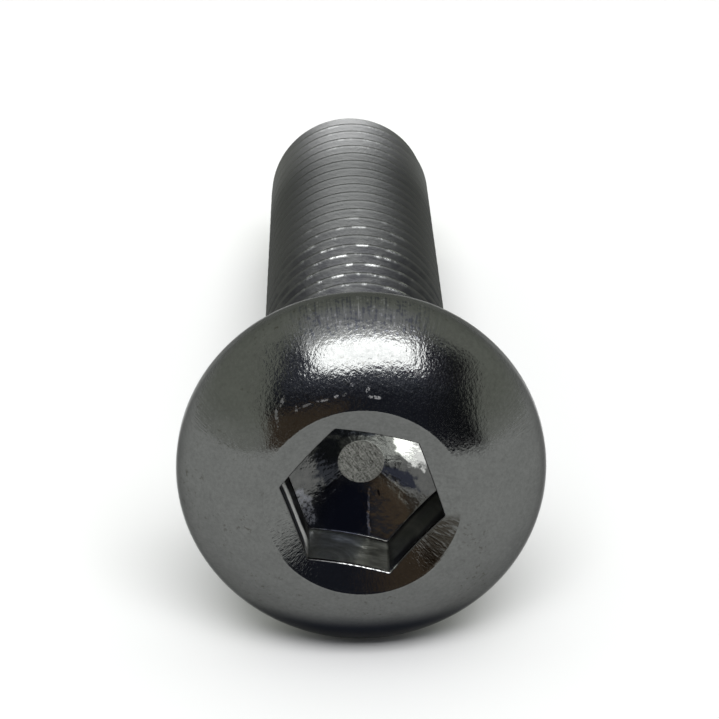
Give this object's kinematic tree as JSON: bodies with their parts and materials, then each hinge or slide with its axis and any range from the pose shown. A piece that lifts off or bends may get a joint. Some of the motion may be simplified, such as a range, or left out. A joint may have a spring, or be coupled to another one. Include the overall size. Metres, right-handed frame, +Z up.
{
  "type": "button head screw",
  "caption": "Stainless button head screw with a domed head, a hexagon socket and a shank threaded along its full length.",
  "frame": {"origin": "point on the resting surface below the middle of the lying screw", "axes": "+Z up, +Y along the lying screw from its head towards its tip, +X level across it"},
  "size_m": [0.021, 0.057, 0.021],
  "materials": {
    "polished_stainless": "bright stainless steel, lightly pitted by tumbling"
  },
  "bodies": {
    "root": {"button_head_screw": "polished_stainless"}
  },
  "joints": []
}
